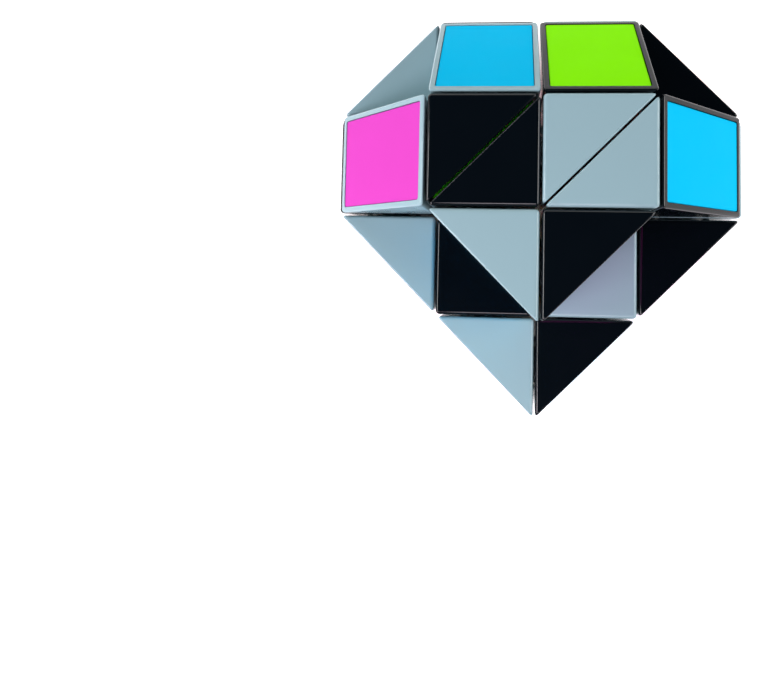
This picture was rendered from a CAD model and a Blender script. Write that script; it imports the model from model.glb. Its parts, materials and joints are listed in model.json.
import json
from math import radians, sqrt

import bmesh
import bpy
from mathutils import Matrix, Vector

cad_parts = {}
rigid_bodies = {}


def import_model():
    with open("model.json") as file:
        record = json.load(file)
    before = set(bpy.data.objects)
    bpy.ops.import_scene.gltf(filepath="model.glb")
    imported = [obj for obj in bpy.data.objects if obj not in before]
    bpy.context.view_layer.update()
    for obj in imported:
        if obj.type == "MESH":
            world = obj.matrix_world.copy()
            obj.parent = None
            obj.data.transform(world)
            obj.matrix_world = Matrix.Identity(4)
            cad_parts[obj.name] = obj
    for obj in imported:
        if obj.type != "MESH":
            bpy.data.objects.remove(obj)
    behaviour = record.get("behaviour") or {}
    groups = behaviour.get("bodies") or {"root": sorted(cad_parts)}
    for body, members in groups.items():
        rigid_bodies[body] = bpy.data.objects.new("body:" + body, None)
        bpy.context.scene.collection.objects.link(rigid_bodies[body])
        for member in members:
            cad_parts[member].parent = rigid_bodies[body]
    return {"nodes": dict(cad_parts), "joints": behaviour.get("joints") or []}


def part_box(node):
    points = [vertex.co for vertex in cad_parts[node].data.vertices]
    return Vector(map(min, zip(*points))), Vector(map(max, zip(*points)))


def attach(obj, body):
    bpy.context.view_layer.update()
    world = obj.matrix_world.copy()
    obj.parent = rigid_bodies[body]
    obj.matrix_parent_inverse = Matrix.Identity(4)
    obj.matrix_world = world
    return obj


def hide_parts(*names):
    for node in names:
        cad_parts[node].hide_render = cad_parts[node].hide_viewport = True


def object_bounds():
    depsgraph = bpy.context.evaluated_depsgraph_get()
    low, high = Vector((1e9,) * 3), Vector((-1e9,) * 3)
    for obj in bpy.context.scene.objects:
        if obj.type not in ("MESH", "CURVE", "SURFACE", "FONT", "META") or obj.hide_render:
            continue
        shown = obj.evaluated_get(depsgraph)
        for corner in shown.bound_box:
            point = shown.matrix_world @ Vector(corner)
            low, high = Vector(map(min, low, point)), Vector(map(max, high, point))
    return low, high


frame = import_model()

cad_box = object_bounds()


# ---- Light grey wedges ----------------------------------------------------------------
# Every second wedge of the chain is moulded in light grey gloss ABS. It is a hollow
# right-angled prism with a post for a screw behind each square face, a raised pad that the
# neighbour turns on, and four click bumps. Its long face is open and takes a coloured cover.

# Lengths are in metres. A pair is a length and a width, or a cone's two radii.
WEDGES = 24
SIDE = 0.020
GAP = 0.0004
INSET = GAP / 2
FACE = SIDE / 2 - INSET
LONG_L = (2 * FACE - INSET * sqrt(2)) * sqrt(2)
WALL = 0.0014
EDGE_ROUND = 0.00075
TIP_ROUND = 0.00085
RIM_ROUND = 0.0004
RIM_STEP = 0.0001
SMOOTH_DEGREES = 40
SEAT = (0.02442, 0.0175)
SEAT_CORNER = 0.0004
SEAT_EDGE = 0.0005
SEAT_DEPTH = 0.0016
LEDGE = 0.001
WINDOW = (0.01712, 0.0143)
ROUND_SIDES = 40
PILOT_R = 0.001
PILOT_L = 0.0037
POST_R = 0.0026
POST_L = 0.0045
PAD_R = 0.0034
PAD_PLAY = 0.00003
PAD_H = GAP - PAD_PLAY
PAD_ROUND = 0.00012
MARK_RING = 0.0062
MARK_SIDES = 24
MARK_ROUND = 0.00008
BUMP_R = (0.0008, 0.0004)
BUMP_H = 0.00034
GREY = (0.292, 0.440, 0.485)
GREY_DARK = (0.280, 0.424, 0.468)
GREY_ROUGHNESS = 0.17
GLOSS_SPREAD = (0.85, 1.2)


def pick(test, kind="FACE"):
    """In edit mode, selects only the faces or edges that pass the test."""
    bpy.ops.mesh.select_mode(type=kind)
    bpy.ops.mesh.select_all(action="DESELECT")
    mesh = bmesh.from_edit_mesh(bpy.context.object.data)
    for part in mesh.faces if kind == "FACE" else mesh.edges:
        part.select = test(part)
    mesh.select_flush_mode()
    bmesh.update_edit_mesh(bpy.context.object.data)


def faces_up(face):
    """Whether the face looks straight up."""
    return face.normal.z > 0.999


def faces_down(face):
    """Whether the face looks straight down."""
    return face.normal.z < -0.999


def start(name, shape, **size):
    """Adds a primitive at its size, alone in the selection, and opens it for editing."""
    bpy.ops.object.select_all(action="DESELECT")
    shape(**size)
    bpy.context.object.name = name
    bpy.ops.object.transform_apply(location=True, rotation=True, scale=True)
    bpy.ops.object.mode_set(mode="EDIT")


def end():
    """Closes the mesh being edited, with its normals outwards, and returns its object."""
    bpy.ops.mesh.select_all(action="SELECT")
    bpy.ops.mesh.remove_doubles(threshold=1e-7)
    bpy.ops.mesh.normals_make_consistent(inside=False)
    bpy.ops.object.mode_set(mode="OBJECT")
    return bpy.context.object


def extrude(x=1.0, y=1.0, down=0.0):
    """Extrudes the picked face, moves it down by that much, and scales it about its middle."""
    bpy.ops.mesh.extrude_region_move(TRANSFORM_OT_translate={"value": (0, 0, -down)})
    bpy.ops.transform.resize(value=(x, y, 1))


def soften(piece):
    """Shades rounded edges smoothly and keeps the flat faces flat."""
    bpy.ops.object.select_all(action="DESELECT")
    bpy.context.view_layer.objects.active = piece
    piece.select_set(True)
    bpy.ops.object.shade_smooth_by_angle(angle=radians(SMOOTH_DEGREES))
    bpy.ops.object.modifier_add(type="WEIGHTED_NORMAL")
    piece.modifiers[-1].keep_sharp = True
    piece.modifiers[-1].weight = 100
    bpy.ops.object.modifier_apply(modifier=piece.modifiers[-1].name)


def hollow_wedge(name):
    """The moulded wedge with its long face up, on Z = 0: open, with a seat and a ledge."""
    start(
        name,
        bpy.ops.mesh.primitive_cube_add,
        size=1,
        scale=(LONG_L, 2 * FACE, LONG_L / 2),
        location=(0, 0, -LONG_L / 4),
    )
    pick(faces_down)
    bpy.ops.transform.resize(value=(0, 1, 1))
    bpy.ops.mesh.select_all(action="SELECT")
    bpy.ops.mesh.remove_doubles(threshold=1e-6)
    bpy.ops.mesh.normals_make_consistent(inside=False)
    round_edges()
    pick(faces_up)
    # The inset only starts the frame round the cover: the seat's size is set after it.
    bpy.ops.mesh.inset(thickness=RIM_STEP)
    fit_picked(SEAT)
    round_corners(SEAT_CORNER)
    extrude(down=SEAT_EDGE)
    slope = SEAT_DEPTH - SEAT_EDGE
    extrude(x=1 - 2 * slope / SEAT[0], down=slope)
    extrude()
    fit_picked(WINDOW)
    extrude(down=LEDGE)
    # The hollow widens behind the ledge, then narrows between the two square walls.
    back = SEAT_DEPTH + LEDGE + INSET
    inner = FACE - WALL
    inside_l = 2 * (inner * sqrt(2) - back)
    extrude(x=inside_l / WINDOW[0], y=2 * inner / WINDOW[1])
    extrude(x=0, down=inside_l / 2)
    return end()


def round_edges():
    """Rounds the prism's edges: least round the open rim, and most at the sharp tips."""
    mesh = bmesh.from_edit_mesh(bpy.context.object.data)
    weight = mesh.edges.layers.float.new("bevel_weight_edge")
    for edge in mesh.edges:
        at_rim = [v.co.z > -1e-6 for v in edge.verts]
        across = abs(edge.verts[0].co.y - edge.verts[1].co.y) > FACE
        if not all(at_rim):
            size = EDGE_ROUND
        elif across:
            size = TIP_ROUND
        else:
            size = RIM_ROUND
        edge[weight] = size / TIP_ROUND
    bpy.ops.object.mode_set(mode="OBJECT")
    bpy.ops.object.modifier_add(type="BEVEL")
    change = bpy.context.object.modifiers[-1]
    change.limit_method = "WEIGHT"
    change.offset_type = "OFFSET"
    change.width = TIP_ROUND
    change.segments = 4
    change.use_clamp_overlap = False
    bpy.ops.object.modifier_apply(modifier=change.name)
    bpy.ops.object.mode_set(mode="EDIT")


def fit_picked(size):
    """Scales the picked flat face to that length and width."""
    mesh = bmesh.from_edit_mesh(bpy.context.object.data)
    corners = [v.co for v in mesh.verts if v.select]
    now = [max(c[k] for c in corners) - min(c[k] for c in corners) for k in (0, 1)]
    bpy.ops.transform.resize(value=(size[0] / now[0], size[1] / now[1], 1))


def round_corners(radius):
    """Rounds the corners of the picked flat face, and picks the same face again."""
    mesh = bmesh.from_edit_mesh(bpy.context.object.data)
    middle = next(f for f in mesh.faces if f.select).calc_center_median()
    bpy.ops.mesh.select_mode(type="VERT")
    bpy.ops.mesh.bevel(offset=radius, segments=3, affect="VERTICES")
    pick(lambda f: len(f.verts) > 6 and (f.calc_center_median() - middle).length < 1e-6)


def square_face(side):
    """Puts what is drawn on Z = 0 on the square face at that end of the long face."""
    out = Vector((side, 0, -1)) / sqrt(2)
    across = Vector((0, 1, 0))
    turn = Matrix((across, out.cross(across), out)).transposed().to_4x4()
    return Matrix.Translation(Vector((0, 0, INSET)) + out * FACE) @ turn


def screw_post():
    """The post behind a square face, with its pad in front and the pilot hole down it."""
    start(
        "screw_post",
        bpy.ops.mesh.primitive_cylinder_add,
        vertices=ROUND_SIDES,
        radius=POST_R,
        depth=POST_L - WALL / 2,
        location=(0, 0, -(POST_L + WALL / 2) / 2),
    )
    pick(faces_up)
    pad = PAD_R / POST_R
    extrude(x=pad, y=pad)
    extrude(down=-(WALL / 2 + PAD_H - PAD_ROUND))
    extrude(x=1 - PAD_ROUND / PAD_R, y=1 - PAD_ROUND / PAD_R, down=-PAD_ROUND)
    bpy.ops.mesh.inset(thickness=PAD_R - PAD_ROUND - PILOT_R)
    extrude(down=PAD_H + PILOT_L)
    return end()


def click_marks(name, foot, top, height):
    """The four low cones round a swivel: bumps outwards, or the dimples that they drop in."""
    marks = []
    for k in range(4):
        turn = Matrix.Rotation(radians(45 + 90 * k), 3, "Z")
        place = turn @ Vector((MARK_RING, 0, 0))
        start(
            f"{name}_{k}",
            bpy.ops.mesh.primitive_cone_add,
            vertices=MARK_SIDES,
            radius1=foot,
            radius2=top,
            depth=abs(height),
            location=(place.x, place.y, abs(height) / 2),
        )
        pick(faces_up)
        bpy.ops.mesh.bevel(offset=MARK_ROUND, segments=2)
        if height < 0:
            bpy.ops.mesh.select_all(action="SELECT")
            bpy.ops.transform.mirror(
                constraint_axis=(False, False, True), center_override=(0, 0, 0)
            )
        marks.append(end())
    return join(marks)


def join(pieces):
    """Joins the pieces into the first of them."""
    bpy.ops.object.select_all(action="DESELECT")
    for piece in pieces:
        piece.select_set(True)
    bpy.context.view_layer.objects.active = pieces[0]
    bpy.ops.object.join()
    return pieces[0]


def copied(piece, name, place):
    """A copy of a piece with its own mesh, put in its place."""
    copy = bpy.data.objects.new(name, piece.data.copy())
    bpy.context.scene.collection.objects.link(copy)
    copy.data.transform(place)
    return copy


def lay_wedges():
    """Where each wedge's long face lies: a matrix from the drawn wedge to the fold."""
    # A swivel sits in the middle of the square faces of the two wedges that it joins.
    spots = {}
    for joint in frame["joints"]:
        first = min(int(joint[role][-2:]) for role in ("parent", "child"))
        axis = Vector([abs(x) for x in joint["axis"]])
        spots[first] = (Vector(joint["pos_m"]), axis)
    places = {}
    for i in range(1, WEDGES + 1):
        low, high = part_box(f"wedge_{i:02d}_panel")
        panel = (low + high) / 2
        spot, axis = spots[min(i, WEDGES - 1)]
        out = axis * (1 if (spot - panel).dot(axis) > 0 else -1)
        cell = spot - out * SIDE / 2
        # The panel lies a little towards both square faces, which tells where the other is.
        inwards = panel - cell
        other = inwards - inwards.project(out)
        k = max(range(3), key=lambda n: abs(other[n]))
        beside = Vector([(1 if other[n] > 0 else -1) if n == k else 0 for n in range(3)])
        before, after = (beside, out) if i < WEDGES else (out, beside)
        along = (before - after) / sqrt(2)
        outwards = -(before + after) / sqrt(2)
        turn = Matrix((along, before.cross(after), outwards)).transposed().to_4x4()
        places[i] = Matrix.Translation(cell - outwards * INSET) @ turn
    return places


def plastic(name, colour, dark, roughness, specular=0.5, grain=0.02):
    """Gloss moulded plastic: faint flow clouding, fine texture and a little handling wear."""
    material = bpy.data.materials.new(name)
    material.use_nodes = True
    nodes, links = material.node_tree.nodes, material.node_tree.links
    shader = nodes["Principled BSDF"]
    shader.inputs["Specular IOR Level"].default_value = specular
    coords = nodes.new("ShaderNodeTexCoord")
    cloud = nodes.new("ShaderNodeTexNoise")
    cloud.inputs["Scale"].default_value = 90
    cloud.inputs["Detail"].default_value = 3
    mix = nodes.new("ShaderNodeMix")
    mix.data_type = "RGBA"
    mix.inputs["A"].default_value = (*dark, 1)
    mix.inputs["B"].default_value = (*colour, 1)
    scuff = nodes.new("ShaderNodeTexNoise")
    scuff.inputs["Scale"].default_value = 260
    scuff.inputs["Detail"].default_value = 2
    scuff.inputs["Roughness"].default_value = 0.5
    gloss = nodes.new("ShaderNodeMapRange")
    gloss.inputs["From Min"].default_value = 0.3
    gloss.inputs["From Max"].default_value = 0.7
    gloss.inputs["To Min"].default_value = roughness * GLOSS_SPREAD[0]
    gloss.inputs["To Max"].default_value = roughness * GLOSS_SPREAD[1]
    skin = nodes.new("ShaderNodeTexNoise")
    skin.inputs["Scale"].default_value = 1400
    skin.inputs["Detail"].default_value = 2
    bump = nodes.new("ShaderNodeBump")
    bump.inputs["Strength"].default_value = grain
    bump.inputs["Distance"].default_value = 0.0001
    for texture in (cloud, scuff, skin):
        links.new(coords.outputs["Object"], texture.inputs["Vector"])
    links.new(cloud.outputs["Fac"], mix.inputs["Factor"])
    links.new(mix.outputs["Result"], shader.inputs["Base Color"])
    links.new(scuff.outputs["Fac"], gloss.inputs["Value"])
    links.new(gloss.outputs["Result"], shader.inputs["Roughness"])
    links.new(skin.outputs["Fac"], bump.inputs["Height"])
    links.new(bump.outputs["Normal"], shader.inputs["Normal"])
    return material


places = lay_wedges()
post = screw_post()
bumps = click_marks("bumps", BUMP_R[0], BUMP_R[1], BUMP_H)
joint_side = join([post, bumps])
grey_shell = hollow_wedge("grey_shell")
soften(grey_shell)
soften(joint_side)
grey_plastic = plastic("light_grey_abs", GREY, GREY_DARK, GREY_ROUGHNESS)
for i in range(2, WEDGES + 1, 2):
    body = f"wedge_{i:02d}"
    shell = copied(grey_shell, f"{body}_body", places[i])
    sides = (1, -1) if i < WEDGES else (1,)
    posts = [copied(joint_side, f"{body}_post", places[i] @ square_face(s)) for s in sides]
    join([shell, *posts])
    shell.data.materials.append(grey_plastic)
    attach(shell, body)
    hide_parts(f"{body}_shell")
for model in (grey_shell, joint_side):
    bpy.data.objects.remove(model)


# ---- Black wedges ---------------------------------------------------------------------
# The wedges between are moulded in black gloss ABS. Each square face that meets a
# neighbour has a plain hole for the screw's shank, and four dimples that click over the
# neighbour's bumps every quarter turn.

HOLE_R = 0.0015
MOUTH_L = 0.0002
MOUTH_FLARE = 1.13
DIMPLE_R = (0.00095, 0.00055)
DIMPLE_L = 0.00034
DIMPLE_LIFT = 0.00004
BLACK = (0.0022, 0.0040, 0.0062)
BLACK_DARK = (0.0015, 0.0030, 0.0050)
BLACK_ROUGHNESS = 0.13
BLACK_SPECULAR = 0.36


def cut(piece, cutter):
    """Cuts the cutter's shape out of the piece."""
    bpy.ops.object.select_all(action="DESELECT")
    bpy.context.view_layer.objects.active = piece
    piece.select_set(True)
    bpy.ops.object.modifier_add(type="BOOLEAN")
    change = piece.modifiers[-1]
    change.operation = "DIFFERENCE"
    change.solver = "EXACT"
    change.object = cutter
    bpy.ops.object.modifier_apply(modifier=change.name)
    bpy.data.objects.remove(cutter)


def pivot_cutter():
    """The shape of a screw hole with its softened mouth."""
    start(
        "hole",
        bpy.ops.mesh.primitive_cylinder_add,
        vertices=ROUND_SIDES,
        radius=HOLE_R,
        depth=WALL * 2,
        location=(0, 0, -WALL),
    )
    pick(faces_up)
    bpy.ops.transform.translate(value=(0, 0, -MOUTH_L))
    extrude(x=MOUTH_FLARE, y=MOUTH_FLARE, down=-MOUTH_L)
    extrude(down=-MOUTH_L)
    return end()


def black_wedge(name, sides):
    """A hollow wedge with the hole and dimples of a swivel on those square faces."""
    shell = hollow_wedge(name)
    cutters = []
    for side in sides:
        dimples = click_marks("dimples", DIMPLE_R[0], DIMPLE_R[1], -DIMPLE_L)
        dimples.data.transform(Matrix.Translation((0, 0, DIMPLE_LIFT)))
        for drawn in (pivot_cutter(), dimples):
            drawn.data.transform(square_face(side))
            cutters.append(drawn)
    cut(shell, join(cutters))
    soften(shell)
    return shell


black_plastic = plastic(
    "black_abs", BLACK, BLACK_DARK, BLACK_ROUGHNESS, specular=BLACK_SPECULAR
)
middle_shell = black_wedge("black_shell", (1, -1))
first_shell = black_wedge("first_black_shell", (-1,))
for i in range(1, WEDGES, 2):
    body = f"wedge_{i:02d}"
    shell = copied(middle_shell if i > 1 else first_shell, f"{body}_body", places[i])
    shell.data.materials.append(black_plastic)
    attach(shell, body)
    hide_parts(f"{body}_shell")
for model in (middle_shell, first_shell):
    bpy.data.objects.remove(model)


# ---- Coloured panels ------------------------------------------------------------------
# A flat satin cover closes each wedge's long face. It is moulded in one bright colour, has
# softened edges, and sits in the shell's seat a hair below the frame, with a low rib on its
# back that finds the opening in the ledge.

PANEL = (0.02424, 0.0173)
PANEL_T = 0.0015
PANEL_RECESS = 0.0001
PANEL_EDGE = 0.0005
PANEL_CORNER = 0.0004
PANEL_ROUND = 0.00015
RIB_PLAY = 0.0001
RIB = (WINDOW[0] - 2 * RIB_PLAY, WINDOW[1] - 2 * RIB_PLAY)
RIB_T = 0.001
RIB_L = 0.00097
PANEL_COLOURS = {
    "cyan": (0.0010, 0.555, 0.930),
    "magenta": (0.630, 0.058, 0.465),
    "lime": (0.265, 0.960, 0.0010),
    "orange": (0.930, 0.170, 0.010),
}
PANEL_DARK = 0.94
PANEL_ROUGHNESS = 0.42
PANEL_SPECULAR = 0.01
PANEL_GRAIN = 0.05
CHAIN_COLOURS = (
    "lime magenta orange cyan lime magenta cyan orange lime magenta cyan orange "
    "magenta lime cyan orange magenta cyan lime orange lime magenta orange cyan"
).split()


def cover():
    """The cover with its outer face at the depth of the recess, in the wedge's drawing."""
    start(
        "cover",
        bpy.ops.mesh.primitive_cube_add,
        size=1,
        scale=(*PANEL, PANEL_EDGE),
        location=(0, 0, -PANEL_RECESS - PANEL_EDGE / 2),
    )
    pick(lambda e: abs(e.verts[0].co.z - e.verts[1].co.z) > PANEL_EDGE / 2, "EDGE")
    bpy.ops.mesh.bevel(offset=PANEL_CORNER, segments=4)
    pick(faces_down)
    slope = PANEL_T - PANEL_EDGE
    extrude(x=1 - 2 * slope / PANEL[0], down=slope)
    extrude()
    fit_picked(RIB)
    extrude(down=RIB_L)
    extrude()
    fit_picked((RIB[0] - 2 * RIB_T, RIB[1] - 2 * RIB_T))
    extrude(down=-RIB_L)
    pick(lambda f: faces_up(f) and len(f.verts) > 6)
    bpy.ops.mesh.region_to_loop()
    bpy.ops.mesh.bevel(offset=PANEL_ROUND, segments=3)
    return end()


drawn_cover = cover()
soften(drawn_cover)
paints = {
    name: plastic(
        f"{name}_panel_plastic",
        colour,
        [PANEL_DARK * c for c in colour],
        PANEL_ROUGHNESS,
        specular=PANEL_SPECULAR,
        grain=PANEL_GRAIN,
    )
    for name, colour in PANEL_COLOURS.items()
}
for i, colour in enumerate(CHAIN_COLOURS, start=1):
    body = f"wedge_{i:02d}"
    panel = copied(drawn_cover, f"{body}_cover", places[i])
    panel.data.materials.append(paints[colour])
    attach(panel, body)
    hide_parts(f"{body}_panel")
bpy.data.objects.remove(drawn_cover)


# ---- Screws, springs and washers ------------------------------------------------------
# Each swivel is held by a zinc-plated shoulder screw with a cross slot. A small steel
# spring and a washer under its head pull the two wedges together.

steel = bpy.data.materials.new("zinc_plated_steel")
steel.use_nodes = True
nodes, links = steel.node_tree.nodes, steel.node_tree.links
shader = nodes["Principled BSDF"]
shader.inputs["Metallic"].default_value = 1.0
coords = nodes.new("ShaderNodeTexCoord")
patch = nodes.new("ShaderNodeTexNoise")
patch.inputs["Scale"].default_value = 500
patch.inputs["Detail"].default_value = 4
tint = nodes.new("ShaderNodeMix")
tint.data_type = "RGBA"
tint.inputs["A"].default_value = (0.42, 0.43, 0.45, 1)
tint.inputs["B"].default_value = (0.60, 0.60, 0.59, 1)
brushed = nodes.new("ShaderNodeTexNoise")
brushed.inputs["Scale"].default_value = 1800
rub = nodes.new("ShaderNodeMapRange")
rub.inputs["To Min"].default_value = 0.2
rub.inputs["To Max"].default_value = 0.42
links.new(coords.outputs["Object"], patch.inputs["Vector"])
links.new(coords.outputs["Object"], brushed.inputs["Vector"])
links.new(patch.outputs["Fac"], tint.inputs["Factor"])
links.new(tint.outputs["Result"], shader.inputs["Base Color"])
links.new(brushed.outputs["Fac"], rub.inputs["Value"])
links.new(rub.outputs["Result"], shader.inputs["Roughness"])
for name, node in frame["nodes"].items():
    if name.endswith("_screws"):
        for slot in node.material_slots:
            slot.material = steel


# ---- Floor, lights and camera ---------------------------------------------------------
# The puzzle lies on pale paper that glows a little round it, so the ground stays white.
# Soft boxes stand round it and the sky is dark above, so that the flat gloss faces stay
# deep and the rounded edges catch the light.

FLOOR_L = 6
FLOOR_COLOUR = (0.93, 0.93, 0.93)

bpy.ops.object.select_all(action="DESELECT")
bpy.ops.mesh.primitive_plane_add(size=FLOOR_L, location=(0, 0, cad_box[0][2]))
floor = bpy.context.object
floor.name = "floor"
pale = bpy.data.materials.new("pale_paper")
pale.use_nodes = True
nodes, links = pale.node_tree.nodes, pale.node_tree.links
paper = nodes["Principled BSDF"]
paper.inputs["Base Color"].default_value = (*FLOOR_COLOUR, 1)
paper.inputs["Roughness"].default_value = 0.9
paper.inputs["Specular IOR Level"].default_value = 0.1
paper.inputs["Emission Color"].default_value = (1, 1, 1, 1)
coords = nodes.new("ShaderNodeTexCoord")
glow = nodes.new("ShaderNodeMath")
glow.operation = "MULTIPLY"
# The glow grows from nothing under the puzzle, and dies out again farther off.
for k, middle, reach, strength in (
    (0, (0, 0, 0), (0.018, 0.036), (0, 0.6)),
    (1, (-0.03, -0.04, 0), (0.12, 0.15), (1, 0)),
):
    away = nodes.new("ShaderNodeVectorMath")
    away.operation = "DISTANCE"
    away.inputs[1].default_value = middle
    ramp = nodes.new("ShaderNodeMapRange")
    for socket, value in zip(("From Min", "From Max", "To Min", "To Max"), reach + strength):
        ramp.inputs[socket].default_value = value
    links.new(coords.outputs["Object"], away.inputs[0])
    links.new(away.outputs["Value"], ramp.inputs["Value"])
    links.new(ramp.outputs["Result"], glow.inputs[k])
links.new(glow.outputs["Value"], paper.inputs["Emission Strength"])
floor.data.materials.append(pale)

# Each box looks at the puzzle's middle, between its two layers.
aim = Vector((0, 0, SIDE))
for name, place, size, watts, tint in (
    ("front_box", (0.01, -0.17, 0.21), (0.10, 0.08), 0.20, (1.0, 0.90, 1.0)),
    ("front_left_box", (-0.155, -0.105, 0.15), (0.08, 0.06), 0.29, (1.0, 0.92, 1.0)),
    ("left_box", (-0.50, 0.0, 0.25), (0.24, 0.12), 1.4, (1.0, 1.0, 1.0)),
    ("back_left_box", (-0.38, 0.38, 0.25), (0.24, 0.10), 0.75, (1.0, 1.0, 1.0)),
    ("back_box", (0.0, 0.30, 0.12), (0.40, 0.12), 0.33, (0.97, 1.0, 1.0)),
    ("right_box", (0.50, 0.0, 0.25), (0.50, 0.25), 2.7, (1.0, 1.0, 1.0)),
):
    light = bpy.data.lights.new(name, "AREA")
    light.shape = "RECTANGLE"
    light.size, light.size_y = size
    light.energy = watts
    light.color = tint
    lamp = bpy.data.objects.new(name, light)
    bpy.context.scene.collection.objects.link(lamp)
    lamp.location = place
    lamp.rotation_euler = (aim - Vector(place)).to_track_quat("-Z", "Y").to_euler()

world = bpy.data.worlds.new("studio")
bpy.context.scene.world = world
world.use_nodes = True
nodes, links = world.node_tree.nodes, world.node_tree.links
sky = nodes["Background"]
coords = nodes.new("ShaderNodeTexCoord")
split = nodes.new("ShaderNodeSeparateXYZ")
fade = nodes.new("ShaderNodeMapRange")
fade.inputs["From Min"].default_value = 0.0
fade.inputs["From Max"].default_value = 0.75
fade.inputs["To Min"].default_value = 0.8
fade.inputs["To Max"].default_value = 0.01
links.new(coords.outputs["Generated"], split.inputs["Vector"])
links.new(split.outputs["Z"], fade.inputs["Value"])
links.new(fade.outputs["Result"], sky.inputs["Strength"])

lens = bpy.data.cameras.new("camera")
lens.lens = 31.09
lens.sensor_width = 36
lens.shift_x = -0.0892
lens.shift_y = -0.1525
lens.clip_start = 0.01
camera = bpy.data.objects.new("camera", lens)
bpy.context.scene.collection.objects.link(camera)
camera.location = (-0.00545, -0.01073, 0.15303)
camera.rotation_euler = (0.05991, 0.07741, 0.01912)
bpy.context.scene.camera = camera
bpy.context.scene.view_settings.view_transform = "Standard"

bpy.context.view_layer.update()
